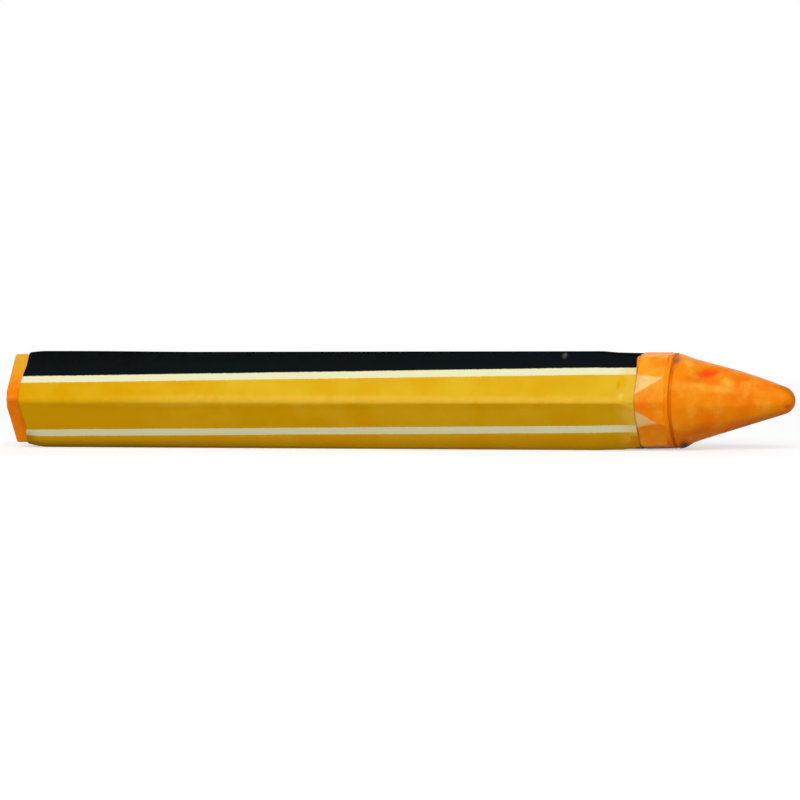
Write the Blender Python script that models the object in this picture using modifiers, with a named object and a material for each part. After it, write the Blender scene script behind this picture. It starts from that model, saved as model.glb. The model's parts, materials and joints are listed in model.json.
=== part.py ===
"""Hexagonal marking crayon: a cast wax stick in a pasted paper label, lying on one flat of the label.

Every piece is modelled upright on the crayon's own axis: butt at z = 0, point up, lengths in metres. One empty
then lays the crayon down, so that in the world it lies along X with its point towards +X, on the plane z = 0.
Flats face the local angles 0, 60, 120 degrees and so on. Flat 0 becomes the underside.
"""

from math import asin, atan2, cos, hypot, pi, radians, sin, tan

import bmesh
import bpy
from mathutils import Vector

# Wax stick
WAX_LENGTH = 0.1143
ACROSS_FLATS = 0.0130
LONG_EDGE_RADIUS = 0.0006
BUTT_EDGE_BEVEL = 0.0003
GROOVE_FROM_BUTT = 0.0985
GROOVE_WIDTH = 0.00045
GROOVE_DEPTH = 0.0003
LAND_LENGTH = 0.0010
LAND_BELOW_FLATS = 0.0001
CORNER_RUNOUT_LENGTH = 0.0065
BLANK_ALLOWANCE = 0.001
POINT_BASE_BELOW_FLATS = 0.00022
POINT_RADIUS = 0.0019

# Paper label
LABEL_FROM_BUTT = 0.0026
LABEL_LENGTH = 0.0913
PAPER_THICKNESS = 0.0001
SNUG_GAP = 0.00008
LOOSE_GAP = 0.0004
LAP_AT_BUTT = 0.0026
LAP_RAMP = 0.0008
LAP_EDGE_ROOM = 0.0003

# Paste
LAP_PASTE_THICKNESS = 0.00005
PASTE_CLEARANCE = 0.000015
PASTE_INSET = 0.0004
PICKUP_PASTE_WIDTH = 0.0030

PASTED_FLAT = radians(120)
HEX_STEP = radians(60)
HALF_STEP = HEX_STEP / 2
TURN_STEPS = 72
ARC_STEPS = 4
POINT_ARC_STEPS = 10
SMOOTH_ANGLE = radians(25)
MERGE_DISTANCE = 0.000001


def clear_scene():
    for item in list(bpy.data.objects):
        bpy.data.objects.remove(item, do_unlink=True)


def new_collection(name):
    collection = bpy.data.collections.new(name)
    bpy.context.scene.collection.children.link(collection)
    return collection


def new_material(name, color, roughness):
    material = bpy.data.materials.new(name)
    material.use_nodes = True
    shader = material.node_tree.nodes["Principled BSDF"]
    shader.inputs["Base Color"].default_value = (*color, 1)
    shader.inputs["Roughness"].default_value = roughness
    shader.inputs["Metallic"].default_value = 0
    return material


def new_object(name, mesh_builder, collection, material=None):
    mesh = bpy.data.meshes.new(name)
    mesh_builder.to_mesh(mesh)
    mesh_builder.free()
    item = bpy.data.objects.new(name, mesh)
    collection.objects.link(item)
    if material:
        mesh.materials.append(material)
        mesh.shade_smooth()
        mesh.set_sharp_from_angle(angle=SMOOTH_ANGLE)
    return item


def direction(angle):
    return Vector((cos(angle), sin(angle)))


def corner_reach(apothem, edge_radius):
    """Distance from the axis to the crest of a rounded corner of the hexagon."""
    return (apothem - edge_radius) / cos(HALF_STEP) + edge_radius


def turned_profile():
    """(radius, height) of the turned blank, from the point down its outer side to below the butt."""
    apothem = ACROSS_FLATS / 2
    base_radius = apothem - POINT_BASE_BELOW_FLATS
    land_radius = apothem - LAND_BELOW_FLATS
    groove_radius = base_radius - GROOVE_DEPTH
    groove_top = GROOVE_FROM_BUTT + GROOVE_WIDTH / 2
    groove_bottom = GROOVE_FROM_BUTT - GROOVE_WIDTH / 2
    land_bottom = groove_bottom - LAND_LENGTH

    # The cone is tangent to the rounded point.
    center = WAX_LENGTH - POINT_RADIUS
    reach = hypot(base_radius, center - groove_top)
    half_angle = atan2(base_radius, center - groove_top) - asin(POINT_RADIUS / reach)
    profile = []
    for step in range(POINT_ARC_STEPS + 1):
        turn = (pi / 2 - half_angle) * step / POINT_ARC_STEPS
        profile.append((POINT_RADIUS * sin(turn), center + POINT_RADIUS * cos(turn)))
    profile.append((base_radius, groove_top))
    profile.append((groove_radius, groove_top - GROOVE_WIDTH / 4))
    profile.append((groove_radius, groove_bottom + GROOVE_WIDTH / 4))
    profile.append((land_radius, groove_bottom))
    profile.append((land_radius, land_bottom))

    # The run-out cone carries on past the corners' crests, so that it leaves each corner at full height.
    slope = (corner_reach(apothem, LONG_EDGE_RADIUS) - land_radius) / CORNER_RUNOUT_LENGTH
    blank_radius = apothem / cos(HALF_STEP) + BLANK_ALLOWANCE
    profile.append((blank_radius, land_bottom - (blank_radius - land_radius) / slope))
    profile.append((blank_radius, -BLANK_ALLOWANCE))
    profile.append((0, -BLANK_ALLOWANCE))
    return profile


def make_turned_blank(collection):
    builder = bmesh.new()
    points = [builder.verts.new((radius, 0, height)) for radius, height in turned_profile()]
    for pair in zip(points, points[1:]):
        builder.edges.new(pair)
    blank = new_object("turned_blank", builder, collection)
    screw = blank.modifiers.new("turn", "SCREW")
    screw.axis = "Z"
    screw.steps = TURN_STEPS
    screw.render_steps = TURN_STEPS
    screw.use_merge_vertices = True
    screw.merge_threshold = MERGE_DISTANCE
    blank.hide_render = True
    blank.display_type = "WIRE"
    return blank


def make_wax_stick(collection, blank, material):
    """A hexagonal bar with rounded long edges, kept only where it lies inside the turned blank."""
    builder = bmesh.new()
    corner_radius = ACROSS_FLATS / 2 / cos(HALF_STEP)
    bar = bmesh.ops.create_cone(
        builder,
        cap_ends=True,
        segments=6,
        radius1=corner_radius,
        radius2=corner_radius,
        depth=WAX_LENGTH + POINT_RADIUS,
    )
    # The bar's first corner stands at +Y, so a flat already faces angle 0.
    bmesh.ops.translate(builder, verts=bar["verts"], vec=(0, 0, (WAX_LENGTH + POINT_RADIUS) / 2))
    butt_edges = [edge for edge in builder.edges if max(v.co.z for v in edge.verts) < MERGE_DISTANCE]
    bmesh.ops.bevel(
        builder, geom=butt_edges, offset=BUTT_EDGE_BEVEL, offset_type="OFFSET", segments=2,
        profile=0.5, affect="EDGES", clamp_overlap=True,
    )
    long_edges = [
        edge for edge in builder.edges
        if abs(edge.verts[0].co.z - edge.verts[1].co.z) > WAX_LENGTH / 2
    ]
    bmesh.ops.bevel(
        builder, geom=long_edges, offset=LONG_EDGE_RADIUS * tan(HALF_STEP), offset_type="OFFSET",
        segments=ARC_STEPS, profile=0.5, affect="EDGES", clamp_overlap=True,
    )
    stick = new_object("wax_stick", builder, collection, material)
    turning = stick.modifiers.new("turned_end", "BOOLEAN")
    turning.operation = "INTERSECT"
    turning.solver = "EXACT"
    turning.object = blank
    return stick


def section_length(gap):
    """Length once round the inner face of the label where it stands this far off the wax."""
    apothem = ACROSS_FLATS / 2 + gap
    radius = LONG_EDGE_RADIUS + gap
    return 12 * (apothem - radius) * tan(HALF_STEP) + 2 * pi * radius


def section_shift(gap):
    """The pasted flat keeps its snug gap, so a looser section moves bodily away from that flat."""
    return direction(PASTED_FLAT) * (SNUG_GAP - gap)


def flat_point(gap, along, lift=0.0):
    """A point over the pasted flat, this far along it in the direction of wrapping."""
    apothem = ACROSS_FLATS / 2 + gap + lift
    return section_shift(gap) + direction(PASTED_FLAT) * apothem + direction(PASTED_FLAT - pi / 2) * along


def first_edge():
    """Where the sheet starts on the pasted flat: clear of the ramp that comes after the last corner."""
    straight_half = (ACROSS_FLATS / 2 - LONG_EDGE_RADIUS) * tan(HALF_STEP)
    return -straight_half + LAP_RAMP + LAP_EDGE_ROOM


def last_edge(gap):
    """Where the sheet ends. The sheet is as wide at both ends, so it laps further where it is snug."""
    return first_edge() + LAP_AT_BUTT + section_length(LOOSE_GAP) - section_length(gap)


def lap_lift():
    return PAPER_THICKNESS + LAP_PASTE_THICKNESS + 2 * PASTE_CLEARANCE


def wrap_points(gap):
    """Inner face of the label's section, from its first edge round the six corners to the end of the lap."""
    radius = LONG_EDGE_RADIUS + gap
    center_reach = (ACROSS_FLATS / 2 + gap - radius) / cos(HALF_STEP)
    points = [flat_point(gap, first_edge())]
    for corner in range(6):
        middle = PASTED_FLAT - HALF_STEP - corner * HEX_STEP
        center = section_shift(gap) + direction(middle) * center_reach
        for step in range(ARC_STEPS + 1):
            turn = middle + HALF_STEP - HEX_STEP * step / ARC_STEPS
            points.append(center + direction(turn) * radius)
    points.append(flat_point(gap, first_edge() - LAP_EDGE_ROOM, lap_lift()))
    points.append(flat_point(gap, last_edge(gap), lap_lift()))
    return points


def make_sheet(name, collection, material, butt_points, tip_points, inset, thickness):
    """A sheet along the label between two open sections, thickened outwards."""
    builder = bmesh.new()
    heights = (LABEL_FROM_BUTT + inset, LABEL_FROM_BUTT + LABEL_LENGTH - inset)
    for section, height in zip((butt_points, tip_points), heights):
        row = [builder.verts.new((point.x, point.y, height)) for point in section]
        for pair in zip(row, row[1:]):
            builder.edges.new(pair)
    bmesh.ops.bridge_loops(builder, edges=builder.edges[:])
    builder.normal_update()
    for face in builder.faces:
        middle = face.calc_center_median()
        if face.normal.dot(Vector((middle.x, middle.y, 0))) < 0:
            face.normal_flip()
    sheet = new_object(name, builder, collection, material)
    wall = sheet.modifiers.new("thickness", "SOLIDIFY")
    wall.thickness = thickness
    wall.offset = 1
    wall.use_even_offset = True
    return sheet


def make_paper_label(collection, material):
    return make_sheet(
        "paper_label", collection, material, wrap_points(LOOSE_GAP), wrap_points(SNUG_GAP), 0, PAPER_THICKNESS
    )


def paste_section(gap, start, end, lift):
    return [flat_point(gap, start, lift), flat_point(gap, end, lift)]


def make_pickup_paste(collection, material):
    """Under the first edge, between the wax flat and the label's inner face."""
    start = first_edge() + PASTE_INSET
    section = paste_section(SNUG_GAP, start, start + PICKUP_PASTE_WIDTH, PASTE_CLEARANCE - SNUG_GAP)
    thickness = SNUG_GAP - 2 * PASTE_CLEARANCE
    return make_sheet("pickup_paste", collection, material, section, section, PASTE_INSET, thickness)


def make_lap_paste(collection, material):
    """Inside the lap, between the first turn's outer face and the end that lies over it."""
    lift = PAPER_THICKNESS + PASTE_CLEARANCE
    sections = [
        paste_section(gap, first_edge() + PASTE_INSET, last_edge(gap) - PASTE_INSET, lift)
        for gap in (LOOSE_GAP, SNUG_GAP)
    ]
    return make_sheet("lap_paste", collection, material, *sections, PASTE_INSET, LAP_PASTE_THICKNESS)


def underside(gap):
    """Distance from the axis down to the outer face of the label's bottom flat."""
    return ACROSS_FLATS / 2 + gap + section_shift(gap).x + PAPER_THICKNESS


def lay_down(pieces, collection):
    """Turns the crayon onto the label's bottom flat, on z = 0, with its footprint centred on the origin."""
    tilt = atan2(underside(LOOSE_GAP) - underside(SNUG_GAP), LABEL_LENGTH)
    rest = bpy.data.objects.new("crayon_rest", None)
    collection.objects.link(rest)
    rest.rotation_euler = (0, pi / 2 + tilt, 0)
    rest.location.x = -(WAX_LENGTH * cos(tilt) - ACROSS_FLATS / 2 * sin(tilt)) / 2
    rest.location.y = -section_shift(LOOSE_GAP).y
    rest.location.z = LABEL_FROM_BUTT * sin(tilt) + underside(LOOSE_GAP) * cos(tilt)
    for piece in pieces:
        piece.parent = rest


def main():
    clear_scene()
    parts = new_collection("crayon")
    cutters = new_collection("crayon_cutters")
    wax = new_material("orange_wax", (0.90, 0.26, 0.01), 0.45)
    paper = new_material("yellow_paper", (0.76, 0.47, 0.03), 0.6)
    paste = new_material("dried_paste", (0.80, 0.76, 0.62), 0.5)
    blank = make_turned_blank(cutters)
    pieces = [
        blank,
        make_wax_stick(parts, blank, wax),
        make_paper_label(parts, paper),
        make_pickup_paste(parts, paste),
        make_lap_paste(parts, paste),
    ]
    lay_down(pieces, parts)


main()
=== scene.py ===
import json
from math import asin, atan2, cos, hypot, pi, radians, sin, sqrt, tan

import bmesh
import bpy
from mathutils import Matrix, Vector, noise


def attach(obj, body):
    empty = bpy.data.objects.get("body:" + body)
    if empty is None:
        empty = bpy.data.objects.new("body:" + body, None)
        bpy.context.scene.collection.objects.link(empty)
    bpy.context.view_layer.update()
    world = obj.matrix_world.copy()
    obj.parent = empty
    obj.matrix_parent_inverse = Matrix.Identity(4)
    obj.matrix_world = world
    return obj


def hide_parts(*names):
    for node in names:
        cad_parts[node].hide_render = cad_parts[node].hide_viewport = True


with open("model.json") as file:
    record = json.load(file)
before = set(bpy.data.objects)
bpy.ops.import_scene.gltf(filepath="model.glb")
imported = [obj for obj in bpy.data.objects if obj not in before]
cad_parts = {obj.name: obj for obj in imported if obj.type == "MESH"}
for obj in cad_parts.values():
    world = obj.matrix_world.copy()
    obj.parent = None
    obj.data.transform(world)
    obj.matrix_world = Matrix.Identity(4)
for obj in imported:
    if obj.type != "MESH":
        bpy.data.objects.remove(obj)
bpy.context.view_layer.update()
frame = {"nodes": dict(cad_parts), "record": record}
scene = bpy.context.scene
scene.view_settings.view_transform = "Standard"
mm = 0.001
sixth = radians(60)

# pieces are modelled in mm, upright on the crayon's axis with the butt at z = 0, then laid down at its mount
# angles go round the axis: 0 underneath, 180 on top, 270 at the front
buttMount = next(mount for mount in frame["record"]["mounts"] if mount["name"] == "butt_face")
pointWay = -Vector(buttMount["axis"])
sideWay = Vector((0, 1, 0))
turned = Matrix((sideWay.cross(pointWay), sideWay, pointWay)).transposed().to_4x4()
layDown = Matrix.Translation(buttMount["pos_m"]) @ turned @ Matrix.Scale(mm, 4)
print("frame loaded:", ", ".join(sorted(frame["nodes"])))


def ease(low, high, value):
    share = min(max((value - low) / (high - low), 0), 1)
    return share * share * (3 - 2 * share)


def fade(low, high, value):
    return 1 - ease(low, high, value)


def softMin(first, second, blend):
    share = max(blend - abs(first - second), 0) / blend
    return min(first, second) - share * share * blend / 4


def turnTo(angle, centre):
    return (angle - centre + pi) % (2 * pi) - pi


def way(angle):
    return Vector((cos(angle), sin(angle)))


def spread(start, end, count):
    return [start + (end - start) * step / count for step in range(1, count + 1)]


def finishPiece(name, bm, materials, replaced):
    bmesh.ops.transform(bm, matrix=layDown, verts=bm.verts)
    mesh = bpy.data.meshes.new(name)
    bm.to_mesh(mesh)
    bm.free()
    mesh.shade_smooth()
    for material in materials:
        mesh.materials.append(material)
    piece = bpy.data.objects.new(name, mesh)
    scene.collection.objects.link(piece)
    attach(piece, "root")
    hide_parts(replaced)
    print(name, len(mesh.polygons), "faces")
    return piece


# node helpers: an input takes a number, a colour or another node's socket
def addNode(tree, kind, inputs=None, **settings):
    node = tree.nodes.new(kind)
    for name, value in settings.items():
        setattr(node, name, value)
    for key, value in (inputs or {}).items():
        if isinstance(value, bpy.types.NodeSocket):
            tree.links.new(value, node.inputs[key])
        else:
            node.inputs[key].default_value = value
    return node


def calc(tree, operation, first, second=0.0):
    return addNode(tree, "ShaderNodeMath", {0: first, 1: second}, operation=operation).outputs[0]


def ramp(tree, value, low, high, outLow=0.0, outHigh=1.0):
    inputs = {"Value": value, "From Min": low, "From Max": high, "To Min": outLow, "To Max": outHigh}
    return addNode(tree, "ShaderNodeMapRange", inputs, interpolation_type="SMOOTHSTEP").outputs[0]


def blendColour(tree, share, first, second):
    inputs = {0: share, 6: first, 7: second}
    return addNode(tree, "ShaderNodeMix", inputs, data_type="RGBA").outputs[2]


def cloud(tree, coords, size, detail, rough=0.55):
    # size is the width of one patch, in mm
    inputs = {"Vector": coords, "Scale": 1 / (size * mm), "Detail": detail, "Roughness": rough}
    return addNode(tree, "ShaderNodeTexNoise", inputs).outputs["Fac"]


def attribute(tree, name):
    return addNode(tree, "ShaderNodeAttribute", attribute_name=name).outputs["Fac"]


def newMaterial(name):
    material = bpy.data.materials.new(name)
    material.use_nodes = True
    tree = material.node_tree
    shader = tree.nodes["Principled BSDF"]
    coords = addNode(tree, "ShaderNodeTexCoord").outputs["Object"]
    return material, tree, shader, coords


def finishLook(tree, shader, colour, roughness, height, bump):
    # bump is a strength and a depth in mm
    inputs = {"Strength": bump[0], "Distance": bump[1] * mm, "Height": height}
    relief = addNode(tree, "ShaderNodeBump", inputs).outputs[0]
    tree.links.new(colour, shader.inputs["Base Color"])
    tree.links.new(roughness, shader.inputs["Roughness"])
    tree.links.new(relief, shader.inputs["Normal"])


# cast wax stick: mm and degrees, heights from the butt
wax = {
    "length": 114.3,
    "acrossFlats": 13.0,
    "edgeRadius": 0.6,
    "edgeBlend": 0.06,
    "turns": 360,
    "merge": 0.0005,
    "ringStops": (3.2, 88.5, 92.5, 101),  # heights where the spacing of the rings changes
    # unevenness of the casting, shown below and above the label
    "swell": 0.05,
    "swellScale": 0.28,
    "bareBelow": (1.5, 3.5),
    "bareAbove": (91.5, 93.5),
    "buttRound": 0.15,
    "buttDish": 0.25,
    "buttRipple": 0.06,
    "buttInset": 0.003,
    "buttAged": 0.5,
    "buttChip": {"angle": 270, "reach": 7, "wide": 1.3, "rise": 0.22, "tall": 1.2},
    # the collar stands out past the paper's end, and the wax is drawn in under it
    "collarFrom": 93.9,
    "collarStep": 0.15,
    "collarDip": {"angle": 150, "half": 25, "deep": 0.3},
    "collarSwell": (0.11, 0.05),  # all round, and more underneath
    "collarFade": (98.3, 101.5),
    "collarHighlight": 0.5,
    "waist": 0.2,
    "waistRun": (86.8, 89.6),
    # the corners run out in pairs of flat cuts:
    # corner, half angle between the pair, share cut at the label's end and at the land
    "cuts": [
        (30, 12, 0.26, 1.02), (90, 20, 0.84, 0.97), (150, 20, 0.80, 1.0),
        (210, 20, 0.82, 0.97), (270, 12, 0.26, 1.02), (330, 20, 0.92, 1.2),
    ],
    "cutSlope": 0.2,
    "landLength": 0.6,
    "landBlend": 0.2,
    "landBelowFlats": 0.1,
    "grooveAt": 98.5,
    "grooveWidth": 0.45,
    "grooveDepth": 0.3,
    "grooveDrift": 0.14,
    "driftScale": 2.3,
    "driftRise": (96.8, 98.2),
    "driftFall": (98.8, 100.4),
    "pointBelowFlats": 0.22,
    "pointRadius": 1.9,
    # flats pared on the point: facing and depth, turning by some degrees per mm
    "facets": [(236, 0.12), (262, 0.06), (292, 0.10), (330, 0.10), (20, 0.10), (75, 0.10), (130, 0.12)],
    "facetTwist": 5 / 6,
    "facetMiddle": 104,
    "facetBlend": 0.12,
    "facetStart": 3,
    "facetEnd": (108, 113.6),
    # marks: place along and round the stick, half length, half width, depth below the surface
    "gouge": {"at": 103.0, "angle": 217, "lean": -0.42, "long": 2.1, "wide": 1.55, "deep": 0.36},
    "burr": {"at": 101.7, "angle": 236, "lean": -0.1, "long": 2.3, "wide": 0.75, "deep": -0.14},
    "chip": {"at": 98.75, "angle": 203, "lean": -0.1, "long": 0.8, "wide": 2.6, "deep": 0.22},
    "lip": {"at": 99.4, "angle": -6, "lean": 0.0, "long": 1.25, "wide": 3.4, "deep": -0.25},
    "crown": {"at": 107.9, "angle": 184, "lean": 0.0, "long": 7.8, "wide": 4.2, "deep": -0.29},
    # marks that only change the colour
    # a painted shadow underneath, at the base of the point
    "paintedShadow": {"at": 99.6, "angle": -13, "lean": 0.0, "long": 0.85, "wide": 2.3},
    "agedBelow": 50,
    "aged": {"at": 0.8, "angle": 217, "lean": 0.0, "long": 6.0, "wide": 4.6},
    # painted highlights: lighter patches where the lamps' highlight falls on the point
    "highlights": [
        {"at": 103.4, "angle": 247, "lean": -0.05, "long": 5.4, "wide": 1.1},
        {"at": 100.3, "angle": 206, "lean": 0.0, "long": 1.0, "wide": 1.6},
        {"at": 105.6, "angle": 232, "lean": 0.0, "long": 1.6, "wide": 1.0},
    ],
    "stains": [
        {"at": 109.5, "angle": -6, "lean": 0.0, "long": 7.0, "wide": 2.4},
        {"at": 113.2, "angle": 205, "lean": 0.0, "long": 2.2, "wide": 1.1},
        {"at": 113.5, "angle": -60, "lean": 0.0, "long": 0.6, "wide": 0.6},
    ],
    # how dark each mark is painted: painted shade in the groove, the chip and at the lip, dirt in the stains
    "dirtAndShade": {"groove": 0.75, "chip": 0.8, "lip": 0.6, "stain": 0.5},
    "grooveShadeScale": 3.1,
}
apothem = wax["acrossFlats"] / 2
straightHalf = (apothem - wax["edgeRadius"]) * tan(sixth / 2)
cornerCentre = (apothem - wax["edgeRadius"]) / cos(sixth / 2)
cornerReach = cornerCentre + wax["edgeRadius"]
landReach = apothem - wax["landBelowFlats"]
baseReach = apothem - wax["pointBelowFlats"]
grooveTop = wax["grooveAt"] + wax["grooveWidth"] / 2
grooveFoot = wax["grooveAt"] - wax["grooveWidth"] / 2
landFoot = grooveFoot - wax["landLength"]
pointCentre = wax["length"] - wax["pointRadius"]
coneReach = hypot(baseReach, pointCentre - grooveTop)
coneTilt = atan2(baseReach, pointCentre - grooveTop) - asin(wax["pointRadius"] / coneReach)
tipFoot = pointCentre + wax["pointRadius"] * sin(coneTilt)


def hexReach(angle):
    swing = abs((angle + sixth / 2) % sixth - sixth / 2)
    if apothem * tan(swing) <= straightHalf:
        return apothem / cos(swing)
    off = sixth / 2 - swing
    return cornerCentre * cos(off) + sqrt(wax["edgeRadius"] ** 2 - (cornerCentre * sin(off)) ** 2)


def grooveDip(z):
    return wax["grooveDepth"] * max(0, 1 - (2 * (z - grooveFoot) / wax["grooveWidth"] - 1) ** 4)


def turnedReach(z):
    if z >= tipFoot:
        return sqrt(max(wax["pointRadius"] ** 2 - (z - pointCentre) ** 2, 0))
    if z >= grooveTop:
        return baseReach - (z - grooveTop) * tan(coneTilt)
    if z >= grooveFoot:
        share = (z - grooveFoot) / wax["grooveWidth"]
        return landReach + (baseReach - landReach) * share - grooveDip(z)
    return landReach


def cutReach(angle, z):
    # the corner cuts run on under the label until they reach the full corner
    reach = wax["acrossFlats"]
    past = z - wax["collarFrom"]
    for middle, between, atLabel, atLand in wax["cuts"]:
        slope = (atLand - atLabel) / (landFoot - wax["collarFrom"]) if past > 0 else wax["cutSlope"]
        between = radians(between)
        full = cornerReach * cos(between)
        depth = full + (apothem * cos(sixth / 2 - between) - full) * (atLabel + slope * past)
        for facing in (radians(middle) - between, radians(middle) + between):
            swing = turnTo(angle, facing)
            if abs(swing) < sixth:
                reach = min(reach, depth / cos(swing))
    return reach


def sideReach(angle, z):
    # the stick before its marks: butt edge, hexagon with cut corners, round land, groove and point
    if z >= grooveFoot:
        reach = turnedReach(z)
    else:
        hexagon = hexReach(angle)
        if z < wax["buttRound"]:
            hexagon -= wax["buttRound"] - sqrt(wax["buttRound"] ** 2 - (wax["buttRound"] - z) ** 2)
        reach = softMin(hexagon, cutReach(angle, min(z, landFoot)), wax["edgeBlend"])
        reach += (landReach - reach) * ease(landFoot, landFoot + wax["landBlend"], z)
    # the paper's end has drawn the soft wax in a little, most on top, and the bare collar stands out past it
    dip = wax["collarDip"]
    offDip = abs(turnTo(angle, radians(dip["angle"])))
    start = wax["collarFrom"] - dip["deep"] * fade(0, radians(dip["half"]), offDip)
    past = ease(start - wax["collarStep"], start + wax["collarStep"], z)
    drawn = wax["waist"] * (0.5 + 0.5 * ease(0.2, 0.9, -cos(angle))) * ease(*wax["waistRun"], z)
    even, under = wax["collarSwell"]
    return reach + (even + under * cos(angle)) * past * fade(*wax["collarFade"], z) - drawn * (1 - past)


def waxProfile():
    # radius and height from the middle of the butt, out, up the side and in to the point
    line = [(0, 0)] + [(apothem * share, 0) for share in spread(0, 1, 22)]
    aboveButt, belowWaist, belowCollar, onCone = wax["ringStops"]
    start = 0
    # height reached, and rings up to it
    for stop, rings in (
        (wax["buttRound"], 5), (aboveButt, 10), (belowWaist, 10), (belowCollar, 12), (landFoot, 44),
        (grooveFoot, 8), (grooveTop, 10), (onCone, 16), (tipFoot, 56),
    ):
        line += [(turnedReach(z), z) for z in spread(start, stop, rings)]
        start = stop
    for lift in spread(coneTilt, pi / 2, 12):
        line.append((wax["pointRadius"] * cos(lift), pointCentre + wax["pointRadius"] * sin(lift)))
    return line


def patchShare(patch, angle, z, reach):
    # 1 in the middle of a lens-shaped patch on the surface, 0 outside it
    along = z - patch["at"]
    across = turnTo(angle, radians(patch["angle"])) * reach - along * patch["lean"]
    return fade(0.15, 1, hypot(along / patch["long"], across / patch["wide"]))


def chipRise(angle):
    # one corner of the butt is chipped
    chip = wax["buttChip"]
    off = abs(turnTo(angle, radians(chip["angle"]))) * chip["reach"] / chip["wide"]
    return chip["rise"] * fade(0.1, 1, off)


def buttPoint(angle, radius, wave):
    # the butt face is scaled to the hexagon and dished a little, as the wax shrank in its mould
    share = radius / apothem
    reach = share * (hexReach(angle) - wax["buttRound"])
    rise = wax["buttDish"] * fade(0.25, 0.95, share) + wax["buttRipple"] * wave * fade(0.9, 1, share)
    rise += wax["buttInset"] + chipRise(angle) * ease(0.8, 1, share)
    return Vector((cos(angle) * reach, sin(angle) * reach, rise)), {"agedShare": wax["buttAged"]}


def markPoint(angle, z, blank):
    # the point was pared by hand after turning, so shallow flats cross it
    reach = blank
    pared = ease(grooveTop, grooveTop + wax["facetStart"], z) * fade(*wax["facetEnd"], z)
    for facing, depth in wax["facets"]:
        swing = turnTo(angle, radians(facing + wax["facetTwist"] * (z - wax["facetMiddle"])))
        if pared and abs(swing) < sixth:
            reach = min(reach, softMin(reach, (blank - depth * pared) / cos(swing), wax["facetBlend"]))
    share = {}
    for name in ("gouge", "burr", "chip", "lip", "crown"):
        share[name] = patchShare(wax[name], angle, z, blank)
        reach -= wax[name]["deep"] * share[name]
    # painted shade sits unevenly in the groove, most on top, and the lip closes the groove underneath
    reach += grooveDip(z) * min(1, 1.5 * share["lip"])
    inGroove = fade(0.10, 0.34, abs(z - wax["grooveAt"]))
    uneven = 0.5 + 0.5 * noise.noise(Vector((cos(angle), sin(angle), 0)) * wax["grooveShadeScale"])
    inGroove *= (0.25 + 0.75 * uneven) * (0.65 + 0.35 * ease(0.3, 0.9, -cos(angle)))
    stain = max(patchShare(patch, angle, z, blank) for patch in wax["stains"])
    # painted shade in the groove, the chip and at the lip, and dirt in the stains
    darkening = {"groove": inGroove, "chip": share["chip"], "lip": share["lip"], "stain": stain}
    return reach, {
        "gougeShare": share["gouge"],
        "burrShadeShare": share["burr"],
        "highlightShare": max(patchShare(highlight, angle, z, blank) for highlight in wax["highlights"]),
        "dirtAndShadeShare": max(wax["dirtAndShade"][name] * darkening[name] for name in darkening),
        # painted shadow underneath, at the base of the point
        "paintedShadowShare": patchShare(wax["paintedShadow"], angle, z, blank),
    }


def sidePoint(angle, z, wave):
    reach = sideReach(angle, z)
    if z < wax["agedBelow"]:
        shares = {"agedShare": patchShare(wax["aged"], angle, z, reach)}
    elif z < landFoot:
        # the collar is painted lighter on top and underneath: painted light
        highlighted = ease(-0.1, 0.3, -cos(angle)) + ease(0.4, 0.9, cos(angle))
        # the uncut flats of the collar are painted paler
        flat = ease(-0.01, 0.05, cutReach(angle, z) - hexReach(angle))
        shares = {"flatShare": flat, "highlightShare": wax["collarHighlight"] * highlighted}
    else:
        reach, shares = markPoint(angle, z, reach)
    shown = ease(*wax["bareAbove"], z) + fade(*wax["bareBelow"], z)
    reach -= wax["swell"] * wave * shown * ease(0, 1.5, reach)
    # the groove was cut by hand and wanders
    drift = noise.noise(Vector((cos(angle), sin(angle), 0.4)) * wax["driftScale"]) * wax["grooveDrift"]
    drift *= ease(*wax["driftRise"], z) * fade(*wax["driftFall"], z)
    drift += chipRise(angle) * fade(0, wax["buttChip"]["tall"], z)
    return Vector((cos(angle) * reach, sin(angle) * reach, z + drift)), shares


def makeWaxStick(material):
    bm = bmesh.new()
    line = [bm.verts.new((radius, 0, z)) for radius, z in waxProfile()]
    edges = [bm.edges.new(pair) for pair in zip(line, line[1:])]
    bmesh.ops.spin(
        bm, geom=line + edges, axis=(0, 0, 1), cent=(0, 0, 0), dvec=(0, 0, 0),
        steps=wax["turns"], angle=2 * pi, use_merge=True,
    )
    bmesh.ops.remove_doubles(bm, verts=bm.verts, dist=wax["merge"])
    bmesh.ops.recalc_face_normals(bm, faces=bm.faces)
    tints = ("flatShare", "agedShare", "gougeShare", "burrShadeShare", "highlightShare", "dirtAndShadeShare", "paintedShadowShare")
    layers = {name: bm.verts.layers.float.new(name) for name in tints}
    for vert in bm.verts:
        angle = atan2(vert.co.y, vert.co.x)
        radius = hypot(vert.co.x, vert.co.y)
        z = vert.co.z
        point = Vector((cos(angle) * radius, sin(angle) * radius, z))
        wave = 0.5 + 0.5 * noise.fractal(point * wax["swellScale"], 0.9, 2.1, 3)
        onButt = z < wax["merge"]
        vert.co, shares = buttPoint(angle, radius, wave) if onButt else sidePoint(angle, z, wave)
        for name, share in shares.items():
            vert[layers[name]] = share
    finishPiece("waxStick", bm, [material], "wax_stick")


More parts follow.
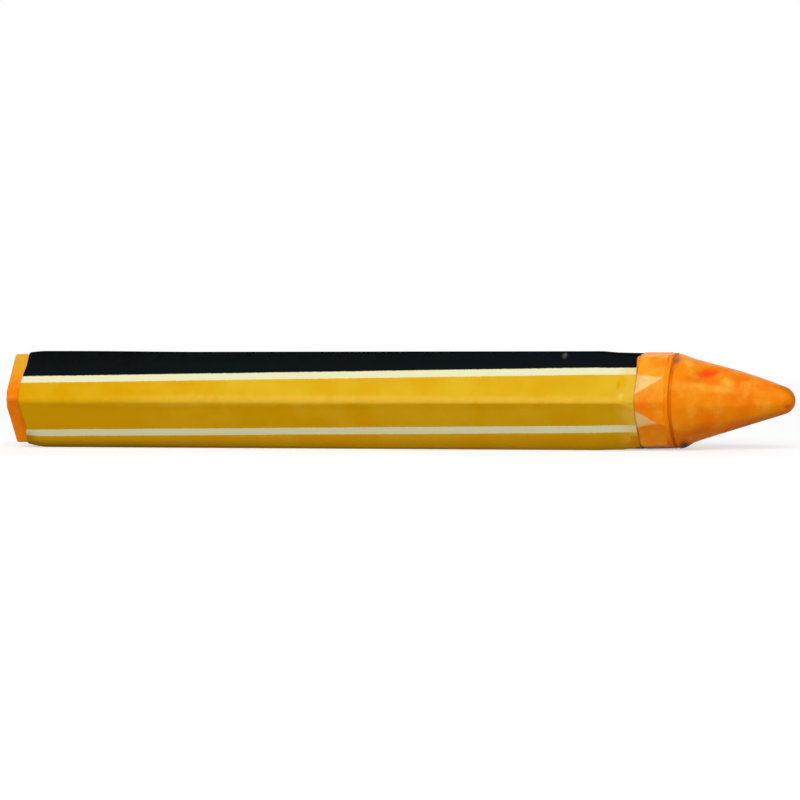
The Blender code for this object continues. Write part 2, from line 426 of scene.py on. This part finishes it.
# printed paper label: mm and degrees
label = {
    "fromButt": 2.6,
    "length": 91.3,
    "paper": 0.1,
    "snugGap": 0.08,
    "looseGap": 0.4,
    "clearance": 0.015,
    # bends, wider where the label is loose and beside the pasted flat
    "foldRadius": 0.3,
    "foldLoosen": 1.5,
    "pastedFold": 0.45,
    "foldDraw": 2.5,
    "pastedFlat": 120,
    "lapAtButt": 2.6,
    "lapRamp": 0.8,
    "lapRoom": 0.3,
    "lapLift": 0.18,
    # mesh rows along the label, how much they crowd to its ends, and columns round it
    "rows": 100,
    "endRows": 0.75,
    "columns": 440,
    "wave": 0.3,
    "waveScale": 0.11,
    # how far the end is pressed in at each fold from the back round underneath, over this length and reach
    "crimpDepth": (0.38, 0.25, 0.34, 0.22, 0.36, 0.40),
    "crimpLength": 2.4,
    "crimpReach": (0.3, 2.7),
    "endDraw": 0.09,
    "endRun": (3.2, 6.2),
    "topDraw": 0.17,
    "topLeast": 0.15,
    "topRun": (0.05, 0.3),
    "endWobble": 0.06,
    "wobbleScale": 0.9,
    "tuck": {"long": 2.8, "wide": 3.4, "deep": 0.5, "flare": 1.0, "flareWide": 1.3, "flareLong": 0.05},
    # the ends were cut freehand: place across the sheet, half width, how far the edge is drawn in there
    "buttCuts": [(21, 8.0, 0.4), (32.5, 3.5, -0.3), (46, 8.5, -1.4)],
    "pointCuts": [(36.3, 4.0, 0.35), (43.8, 5.0, 0.45)],
}
firstEdge = -straightHalf + label["lapRamp"] + label["lapRoom"]
sheetWidth = 12 * straightHalf + 2 * pi * (wax["edgeRadius"] + label["looseGap"]) + label["lapAtButt"]
# folds that are treated apart, numbered from the back round underneath
backFold, lowerFold, frontFold, nearTopFold, farTopFold = 0, 2, 3, 4, 5


def foldDrop(corner, gap):
    # bend radius at a corner, and how far the flats beside it are drawn in
    loose = wax["edgeRadius"] + gap
    fold = label["foldRadius"] + label["foldLoosen"] * (gap - label["snugGap"])
    fold = max(fold, loose - label["pastedFold"] if corner in (backFold, farTopFold) else 0)
    return fold, (loose - fold) * (1 - cos(sixth / 2))


def wrapPoint(across, gap):
    # place, distance from the nearest fold and that fold, this far from the sheet's first edge
    pasted = radians(label["pastedFlat"])
    shift = way(pasted) * (label["snugGap"] - gap)
    loose = wax["edgeRadius"] + gap
    arc = loose * sixth
    left = across - (straightHalf - firstEdge)
    if left < 0:
        drop = foldDrop(backFold, gap)[1] * fade(0, label["foldDraw"], -left)
        place = way(pasted) * (apothem + gap - drop) + way(pasted - pi / 2) * (straightHalf + left)
        return shift + place, arc / 2 - left, backFold
    for corner in range(6):
        before = pasted - corner * sixth
        after = before - sixth
        fold, drop = foldDrop(corner, gap)
        if left < arc:
            # flat, tight bend, flat
            run = (loose - fold) / 2
            along = left / arc * (2 * run + fold * sixth)
            rest = 2 * run + fold * sixth - along
            if along < run:
                place = way(before) * (apothem + gap - drop) + way(before - pi / 2) * (straightHalf + along)
            elif rest < run:
                place = way(after) * (apothem + gap - drop) - way(after - pi / 2) * (straightHalf + rest)
            else:
                facing = before - (along - run) / fold
                place = way(before - sixth / 2) * (cornerCentre + loose - fold) + way(facing) * fold
            return shift + place, abs(along - rest) / 2, corner
        left -= arc
        if corner == farTopFold:
            lifted = ease(0, label["lapRamp"], left)
            lift = label["lapLift"] * lifted - drop * (1 - lifted)
            place = way(after) * (apothem + gap + lift) + way(after - pi / 2) * (left - straightHalf)
            return shift + place, arc / 2 + left, corner
        if left < 2 * straightHalf:
            nearest = corner if left < straightHalf else corner + 1
            fromBend = min(left, 2 * straightHalf - left)
            drop = foldDrop(nearest, gap)[1] * fade(0, label["foldDraw"], fromBend)
            place = way(after) * (apothem + gap - drop) + way(after - pi / 2) * (left - straightHalf)
            return shift + place, arc / 2 + fromBend, nearest
        left -= 2 * straightHalf


def foldAcross(corner, gap):
    arc = (wax["edgeRadius"] + gap) * sixth
    return straightHalf - firstEdge + (corner + 0.5) * arc + corner * 2 * straightHalf


def endCut(end, across):
    return sum(depth * fade(0, 1, abs(across - place) / half) for place, half, depth in label[end])


def rollSheet(along, across):
    # a point of the flat sheet, rolled round the wax, and its painted highlight share and its dirt and
    # painted shade share
    z = label["fromButt"] + along * label["length"]
    toEnd = label["fromButt"] + label["length"] - z
    gap = label["looseGap"] + (label["snugGap"] - label["looseGap"]) * along
    place, fromBend, corner = wrapPoint(across, gap)
    point = Vector((place.x, place.y, z))
    nearTop, farTop = foldAcross(nearTopFold, gap), foldAcross(farTopFold, gap)
    topward = ease(nearTop - 3, nearTop, across) * fade(farTop + 0.2, farTop + 0.6, across)
    sink = label["wave"] * gap * (0.5 + 0.5 * noise.fractal(point * label["waveScale"], 1, 2, 2))
    sink *= ease(0.3, 1.2, fromBend) * (1 - topward)
    # the end is pressed in, most at its folds, and the top is drawn tight
    z += endCut("buttCuts", across) * (1 - along) - endCut("pointCuts", across) * along
    sink += label["endDraw"] * (1 + topward) * fade(*label["endRun"], toEnd)
    crimp = label["crimpDepth"][corner] * fade(*label["crimpReach"], fromBend)
    sink += crimp * max(0, 1 - toEnd / label["crimpLength"])
    drawn = label["topLeast"] + (1 - label["topLeast"]) * ease(*label["topRun"], along)
    sink += label["topDraw"] * topward * drawn
    # the butt end is tucked in at the lower fold
    tuck = label["tuck"]
    offTuck = abs(across - foldAcross(lowerFold, gap)) / tuck["wide"]
    tucked = fade(0, 1, offTuck) * fade(0, tuck["long"], z - label["fromButt"])
    sink += tuck["deep"] * tucked
    # paste holds the lap and the edge under it, and the paper never sinks into the wax
    lapStart = farTop + (wax["edgeRadius"] + gap) * sixth / 2
    held = ease(0.6, 2.2, straightHalf - firstEdge - across) + ease(0, label["lapRamp"], across - lapStart)
    room = place.length - sideReach(atan2(place.y, place.x), z) - label["clearance"]
    place *= 1 - min(sink * (1 - held), max(room, 0)) / place.length
    wobble = label["endWobble"] * (0.5 + 0.5 * noise.noise(point * label["wobbleScale"]))
    z += wobble * (fade(0, 0.02, along) - ease(0.98, 1, along))
    z -= tuck["flare"] * fade(0, tuck["flareWide"], offTuck) * fade(0, tuck["flareLong"], along)
    # the front and near-top folds get a painted highlight, most on their upper side; the lower fold is
    # darkened by dirt and painted shade
    highlighted = grimeAndShade = 0
    if corner in (frontFold, nearTopFold):
        above = across > foldAcross(corner, gap)
        highlighted = (fade(0.5, 1.3, fromBend) if above else fade(0.05, 0.3, fromBend)) * ease(0.06, 0.4, along)
    if corner == lowerFold:
        grimeAndShade = fade(0.2, 1.5, fromBend) * (0.95 - 0.45 * ease(0.1, 0.6, along))
    # the tuck also gets painted shade
    return Vector((place.x, place.y, z)), highlighted, max(grimeAndShade, 0.9 * tucked)


def makePaperLabel(materials):
    bm = bmesh.new()
    bmesh.ops.create_grid(bm, x_segments=label["rows"], y_segments=label["columns"], size=0.5)
    sheetMap = bm.loops.layers.uv.new("sheet")
    foldHighlightShare = bm.verts.layers.float.new("foldHighlightShare")
    grimeAndShadeShare = bm.verts.layers.float.new("grimeAndShadeShare")
    for vert in bm.verts:
        vert.co.x += label["endRows"] * sin(2 * pi * vert.co.x) / (2 * pi)
    for face in bm.faces:
        for loop in face.loops:
            loop[sheetMap].uv = (loop.vert.co.x + 0.5, loop.vert.co.y + 0.5)
    for vert in bm.verts:
        along, across = vert.co.x + 0.5, (vert.co.y + 0.5) * sheetWidth
        vert.co, vert[foldHighlightShare], vert[grimeAndShadeShare] = rollSheet(along, across)
    bm.normal_update()
    # the printed side faces outwards
    front = min(bm.faces, key=lambda face: face.calc_center_median().y)
    if front.normal.y > 0:
        bmesh.ops.reverse_faces(bm, faces=bm.faces)
    piece = finishPiece("paperLabel", bm, materials, "paper_label")
    wall = piece.modifiers.new("paper", "SOLIDIFY")
    wall.thickness = label["paper"] * mm
    wall.offset = 1
    wall.material_offset = 1
    wall.material_offset_rim = 1


# wax finish: colours in linear light, sizes in mm
waxFinish = {
    "orange": (1.0, 0.28, 0.0012, 1),
    "deep": (0.97, 0.205, 0.0006, 1),
    "light": (1.0, 0.43, 0.032, 1),
    "paleFlat": (0.96, 0.64, 0.24, 1),
    "aged": (0.79, 0.43, 0.030, 1),
    "fresh": (1.0, 0.080, 0.0004, 1),
    "burrShade": (0.80, 0.135, 0.0008, 1),
    "dirtAndShade": (0.28, 0.050, 0.0015, 1),
    "paintedShadow": (0.030, 0.009, 0.005, 1),
    "broadSize": 4.5,
    "patchSize": 1.6,
    "grainSize": 0.22,
    "lightMost": 0.6,
    "burrShadeMost": 0.55,
    "roughness": (0.38, 0.55),
    "specular": 0.06,
    "bump": (0.55, 0.12),
    "glow": {"Weight": 0.12, "Radius": (1.0, 0.30, 0.03), "Scale": 0.0010},
}


def makeWaxMaterial():
    material, tree, shader, coords = newMaterial("castWax")
    broad = cloud(tree, coords, waxFinish["broadSize"], 5)
    patches = cloud(tree, coords, waxFinish["patchSize"], 4)
    grain = cloud(tree, coords, waxFinish["grainSize"], 6, 0.65)

    def tinted(colour, layer, share, finish):
        # a mark's colour, broken up by the wax's own patches
        covered = calc(tree, "MULTIPLY", attribute(tree, layer), share)
        return blendColour(tree, covered, colour, waxFinish[finish])

    colour = blendColour(tree, ramp(tree, broad, 0.35, 0.62), waxFinish["deep"], waxFinish["orange"])
    lightPatches = ramp(tree, patches, 0.46, 0.74, 0, waxFinish["lightMost"])
    colour = blendColour(tree, lightPatches, colour, waxFinish["light"])
    # painted highlights on the point, and painted light on top of and under the collar
    colour = tinted(colour, "highlightShare", ramp(tree, patches, 0.3, 0.6, 0.35, 1), "light")
    # the uncut flats of the collar are paler
    colour = tinted(colour, "flatShare", ramp(tree, patches, 0.2, 0.65, 0.45, 0.95), "paleFlat")
    colour = tinted(colour, "agedShare", ramp(tree, broad, 0.25, 0.65, 0.5, 1.0), "aged")
    # painted shade along the burr, in the shadow line below the gouge
    colour = tinted(colour, "burrShadeShare", waxFinish["burrShadeMost"], "burrShade")
    colour = blendColour(tree, attribute(tree, "gougeShare"), colour, waxFinish["fresh"])
    # painted shade in the groove, the chip and at the lip, and dirt in the stains
    colour = tinted(colour, "dirtAndShadeShare", ramp(tree, grain, 0.3, 0.6, 0.75, 1), "dirtAndShade")
    # a painted shadow underneath, at the base of the point
    colour = blendColour(tree, attribute(tree, "paintedShadowShare"), colour, waxFinish["paintedShadow"])
    height = calc(tree, "ADD", calc(tree, "MULTIPLY", patches, 0.7), calc(tree, "MULTIPLY", grain, 0.3))
    roughness = ramp(tree, grain, 0.3, 0.7, *waxFinish["roughness"])
    finishLook(tree, shader, colour, roughness, height, waxFinish["bump"])
    shader.inputs["Specular IOR Level"].default_value = waxFinish["specular"]
    for name, value in waxFinish["glow"].items():
        shader.inputs["Subsurface " + name].default_value = value
    return material


# print on the label: places in mm across the sheet from its first edge, colours in linear light
labelPrint = {
    "lowerStripe": (23.82, 24.99),
    "upperStripe": (32.77, 33.86),
    "edgeSoft": 0.06,
    "edgeRagged": 0.05,
    "skew": 0.22,
    # the yellow turns warmer and darker under the front fold and browner near the floor, both painted shade;
    # the black is deeper on top
    "shadeUnder": (28.4, 29.1),
    "bottomShadeBand": (22.4, 23.8),
    "blackOver": (34.0, 39.0),
    "yellow": (0.79, 0.485, 0.019, 1),
    "warmShadedYellow": (0.74, 0.375, 0.002, 1),
    "white": (0.86, 0.84, 0.53, 1),
    "rubbedWhite": (0.86, 0.66, 0.24, 1),
    "black": (0.0030, 0.0036, 0.0044, 1),
    "fadedBlack": (0.0052, 0.0082, 0.0098, 1),
    "wornAndHighlight": (0.86, 0.50, 0.045, 1),
    "grimeAndShade": (0.20, 0.135, 0.006, 1),
    "bare": (0.74, 0.70, 0.58, 1),
    "warm": (0.84, 0.44, 0.0015, 1),
    "bottomShadeBrown": (0.62, 0.27, 0.003, 1),
    "orangeTint": (0.76, 0.26, 0.002, 1),
    "pale": (0.80, 0.66, 0.17, 1),
    "shadeUnderMost": 0.62,
    "bottomShadeMost": 0.5,
    "grimeAndShadeMost": 0.75,
    "endRub": (0.965, 0.995),
    # spots: mm from the point end and across the sheet, half length, half width, strength
    "scuff": {"fromEnd": 9.9, "across": 36.0, "long": 0.5, "wide": 0.7, "strength": 0.10},
    "warmSpot": {"fromEnd": 1.9, "across": 31.6, "long": 0.75, "wide": 1.5, "strength": 0.8},
    # a painted highlight just above the front fold
    "highlightSpot": {"fromEnd": 1.9, "across": 29.5, "long": 0.7, "wide": 0.8, "strength": 0.6},
    # painted shade in the crease where the crimp starts
    "creaseShadeMark": {"fromEnd": 2.35, "across": 31.0, "long": 0.3, "wide": 1.0, "strength": 0.2},
    "orangeSpot": {"fromEnd": 0.4, "across": 22.2, "long": 1.5, "wide": 2.0, "strength": 0.8},
    "fibreSize": 0.3,
    "mottleSize": 7,
    "speckSize": 1.1,
    "roughness": (0.5, 0.66),
    "specular": 0,
    "bump": (0.25, 0.04),
}


def makePrintMaterial():
    material, tree, shader, coords = newMaterial("printedPaper")
    sheet = addNode(tree, "ShaderNodeUVMap", uv_map="sheet").outputs[0]
    along, around = addNode(tree, "ShaderNodeSeparateXYZ", {0: sheet}).outputs[:2]
    skewed = calc(tree, "MULTIPLY", calc(tree, "SUBTRACT", along, 0.5), -labelPrint["skew"])
    across = calc(tree, "ADD", calc(tree, "MULTIPLY", around, sheetWidth), skewed)
    fromEnd = calc(tree, "MULTIPLY", calc(tree, "SUBTRACT", 1.0, along), label["length"])
    fibre = cloud(tree, coords, labelPrint["fibreSize"], 6, 0.7)
    mottle = cloud(tree, coords, labelPrint["mottleSize"], 3)
    speck = cloud(tree, coords, labelPrint["speckSize"], 5, 0.6)
    ragged = labelPrint["edgeRagged"]
    edge = calc(tree, "ADD", across, ramp(tree, fibre, 0.2, 0.8, -ragged, ragged))

    def beyond(place, low=0, high=1):
        soft = labelPrint["edgeSoft"]
        return ramp(tree, edge, place - soft, place + soft, low, high)

    def stripe(name):
        start, end = labelPrint[name]
        return calc(tree, "MULTIPLY", beyond(start), beyond(end, 1, 0))

    def spot(name):
        # a ragged patch on the sheet
        values = labelPrint[name]
        offAlong = calc(tree, "SUBTRACT", fromEnd, values["fromEnd"])
        offAlong = calc(tree, "MULTIPLY", offAlong, 1 / values["long"])
        offAcross = calc(tree, "SUBTRACT", across, values["across"])
        offAcross = calc(tree, "MULTIPLY", offAcross, 1 / values["wide"])
        off = calc(tree, "ADD", calc(tree, "POWER", offAlong, 2.0), calc(tree, "POWER", offAcross, 2.0))
        off = calc(tree, "ADD", calc(tree, "SQRT", off), ramp(tree, speck, 0.25, 0.75, -0.4, 0.4))
        return ramp(tree, off, 0.2, 1.0, values["strength"], 0)

    # the yellow is mottled and warmer towards the butt; it is painted darker and warmer under the front fold
    # and browner towards the floor as painted shade
    mottled = ramp(tree, mottle, 0.3, 0.7, -0.35, 0.35)
    clean = calc(tree, "ADD", mottled, ramp(tree, along, 0.0, 0.4, 0.05, 0.75))
    lowerShade = ramp(tree, across, *labelPrint["shadeUnder"], labelPrint["shadeUnderMost"], 0)
    clean = calc(tree, "SUBTRACT", clean, lowerShade)
    colour = blendColour(tree, clean, labelPrint["warmShadedYellow"], labelPrint["yellow"])
    bottomShaded = ramp(tree, across, *labelPrint["bottomShadeBand"], labelPrint["bottomShadeMost"], 0)
    colour = blendColour(tree, bottomShaded, colour, labelPrint["bottomShadeBrown"])
    # the folds get a painted highlight, and the point end is rubbed
    highlighted = calc(tree, "MULTIPLY", attribute(tree, "foldHighlightShare"), ramp(tree, speck, 0.3, 0.65, 0.3, 0.8))
    endRub = ramp(tree, along, *labelPrint["endRub"], 0, 0.85)
    endRub = calc(tree, "MULTIPLY", endRub, ramp(tree, speck, 0.3, 0.6, 0.4, 1))
    colour = blendColour(tree, calc(tree, "MAXIMUM", highlighted, endRub), colour, labelPrint["wornAndHighlight"])
    white = blendColour(tree, endRub, labelPrint["white"], labelPrint["rubbedWhite"])
    for name in ("lowerStripe", "upperStripe"):
        colour = blendColour(tree, stripe(name), colour, white)
    # the pressed end is crumpled on the front: a warm spot, a painted highlight above the front fold,
    # painted shade in the crease where the crimp starts, and an orange spot low down
    for name, finish in (
        ("warmSpot", "warm"), ("highlightSpot", "pale"), ("creaseShadeMark", "grimeAndShade"), ("orangeSpot", "orangeTint"),
    ):
        colour = blendColour(tree, spot(name), colour, labelPrint[finish])
    # black band from the upper stripe over the top
    inked = ramp(tree, across, *labelPrint["blackOver"])
    inked = calc(tree, "MULTIPLY", inked, ramp(tree, speck, 0.35, 0.65, 0.2, 1))
    black = blendColour(tree, inked, labelPrint["fadedBlack"], labelPrint["black"])
    colour = blendColour(tree, beyond(labelPrint["upperStripe"][1]), colour, black)
    # dirt and painted shade along the lower fold and in the tuck
    grimedAndShaded = calc(tree, "MULTIPLY", attribute(tree, "grimeAndShadeShare"), labelPrint["grimeAndShadeMost"])
    colour = blendColour(tree, grimedAndShaded, colour, labelPrint["grimeAndShade"])
    colour = blendColour(tree, spot("scuff"), colour, labelPrint["bare"])
    roughness = ramp(tree, fibre, 0.25, 0.75, *labelPrint["roughness"])
    finishLook(tree, shader, colour, roughness, fibre, labelPrint["bump"])
    shader.inputs["Specular IOR Level"].default_value = labelPrint["specular"]
    return material


# the sheet's inner side and cut edges
barePaper = {
    "stain": (0.66, 0.58, 0.40, 1),
    "fibre": (0.55, 0.45, 0.26, 1),
    "fibreSize": 0.25,
    "stainSize": 3,
    "roughness": (0.7, 0.85),
    "bump": (0.4, 0.04),
}


def makeBarePaperMaterial():
    material, tree, shader, coords = newMaterial("barePaper")
    fibre = cloud(tree, coords, barePaper["fibreSize"], 6, 0.7)
    stain = cloud(tree, coords, barePaper["stainSize"], 3)
    colour = blendColour(tree, ramp(tree, stain, 0.3, 0.7), barePaper["stain"], labelPrint["bare"])
    colour = blendColour(tree, ramp(tree, fibre, 0.55, 0.8, 0, 0.4), colour, barePaper["fibre"])
    roughness = ramp(tree, fibre, 0.3, 0.7, *barePaper["roughness"])
    finishLook(tree, shader, colour, roughness, fibre, barePaper["bump"])
    return material


# the two lines of paste keep the CAD's shape
paste = {
    "dark": (0.62, 0.54, 0.36, 1),
    "pale": (0.82, 0.78, 0.64, 1),
    "streakSize": 0.8,
    "roughness": (0.42, 0.62),
    "bump": (0.4, 0.02),
}


def makePasteMaterial():
    material, tree, shader, coords = newMaterial("driedPaste")
    streak = cloud(tree, coords, paste["streakSize"], 5)
    colour = blendColour(tree, ramp(tree, streak, 0.3, 0.7), paste["dark"], paste["pale"])
    roughness = ramp(tree, streak, 0.3, 0.7, *paste["roughness"])
    finishLook(tree, shader, colour, roughness, streak, paste["bump"])
    return material


makeWaxStick(makeWaxMaterial())
makePaperLabel([makePrintMaterial(), makeBarePaperMaterial()])
pasteMaterial = makePasteMaterial()
for node in ("pickup_paste", "lap_paste"):
    frame["nodes"][node].data.materials.clear()
    frame["nodes"][node].data.materials.append(pasteMaterial)
print("pieces made")


# studio: metres, watts
studio = {
    "floorHalf": 4,
    "floorDrop": 0.00002,
    "floorShade": 0.55,
    "floorGlow": 0.55,
    "shadowReach": (0.10, 0.35),
    "ambient": 0.36,
    "lamps": {
        "keyLamp": {"place": (0.10, -0.50, 0.45), "size": 0.5, "power": 2.93},
        "fillLamp": {"place": (-0.42, -0.48, 0.16), "size": 0.5, "power": 0.6},
        "backLamp": {"place": (-0.10, 0.60, 0.40), "size": 0.6, "power": 0.9},
    },
}


def seenDirectly(tree):
    # rays that show the background itself
    rays = addNode(tree, "ShaderNodeLightPath").outputs
    seen = calc(tree, "MAXIMUM", rays["Is Camera Ray"], rays["Is Glossy Ray"])
    return calc(tree, "MAXIMUM", seen, rays["Is Transmission Ray"])


def makeFloor():
    bm = bmesh.new()
    bmesh.ops.create_grid(bm, x_segments=1, y_segments=1, size=studio["floorHalf"])
    bmesh.ops.translate(bm, verts=bm.verts, vec=(0, 0, -studio["floorDrop"]))
    mesh = bpy.data.meshes.new("floor")
    bm.to_mesh(mesh)
    bm.free()
    floor = bpy.data.objects.new("floor", mesh)
    scene.collection.objects.link(floor)
    material = bpy.data.materials.new("paleFloor")
    material.use_nodes = True
    tree = material.node_tree
    tree.nodes.clear()
    shade = (studio["floorShade"],) * 3 + (1,)
    matte = addNode(tree, "ShaderNodeBsdfDiffuse", {"Color": shade}).outputs[0]
    seen = seenDirectly(tree)
    strength = calc(tree, "MULTIPLY", seen, studio["floorGlow"])
    glow = addNode(tree, "ShaderNodeEmission", {"Strength": strength}).outputs[0]
    near = addNode(tree, "ShaderNodeAddShader", {0: matte, 1: glow}).outputs[0]
    white = addNode(tree, "ShaderNodeEmission", {"Strength": 1.0}).outputs[0]
    # away from the object the floor runs out into plain white
    coords = addNode(tree, "ShaderNodeTexCoord").outputs["Object"]
    away = addNode(tree, "ShaderNodeVectorMath", {0: coords}, operation="LENGTH").outputs["Value"]
    share = calc(tree, "MULTIPLY", ramp(tree, away, *studio["shadowReach"]), seen)
    surface = addNode(tree, "ShaderNodeMixShader", {0: share, 1: near, 2: white}).outputs[0]
    out = addNode(tree, "ShaderNodeOutputMaterial")
    tree.links.new(surface, out.inputs["Surface"])
    mesh.materials.append(material)


def makeWorld():
    world = bpy.data.worlds.new("studioWorld")
    world.use_nodes = True
    tree = world.node_tree
    strength = ramp(tree, seenDirectly(tree), 0, 1, studio["ambient"], 1.0)
    tree.links.new(strength, tree.nodes["Background"].inputs["Strength"])
    tree.nodes["Background"].inputs["Color"].default_value = (1, 1, 1, 1)
    scene.world = world


def makeLamp(name, values):
    lamp = bpy.data.lights.new(name, "AREA")
    lamp.size = values["size"]
    lamp.energy = values["power"]
    holder = bpy.data.objects.new(name, lamp)
    holder.location = values["place"]
    holder.rotation_euler = (-Vector(values["place"])).to_track_quat("-Z", "Y").to_euler()
    scene.collection.objects.link(holder)


# camera: metres, degrees, mm of lens and sensor
photoView = {
    "place": (0.11340, -0.32868, 0.02110),
    "yaw": 18.819,
    "pitch": -2.371,
    "roll": -0.8367,
    "lens": 110.92,
    "sensor": 36,
    "nearest": 0.01,
}


def makeCamera():
    yaw, pitch, roll = (radians(photoView[key]) for key in ("yaw", "pitch", "roll"))
    forward = Vector((-sin(yaw) * cos(pitch), cos(yaw) * cos(pitch), sin(pitch)))
    levelRight = Vector((cos(yaw), sin(yaw), 0))
    levelUp = levelRight.cross(forward)
    right = levelRight * cos(roll) + levelUp * sin(roll)
    up = levelUp * cos(roll) - levelRight * sin(roll)
    lens = bpy.data.cameras.new("photoCamera")
    lens.lens = photoView["lens"]
    lens.sensor_width = photoView["sensor"]
    lens.clip_start = photoView["nearest"]
    camera = bpy.data.objects.new("photoCamera", lens)
    facing = Matrix((right, up, -forward)).transposed().to_4x4()
    camera.matrix_world = Matrix.Translation(photoView["place"]) @ facing
    scene.collection.objects.link(camera)
    scene.camera = camera


makeFloor()
makeWorld()
for name, values in studio["lamps"].items():
    makeLamp(name, values)
makeCamera()
print("studio set")
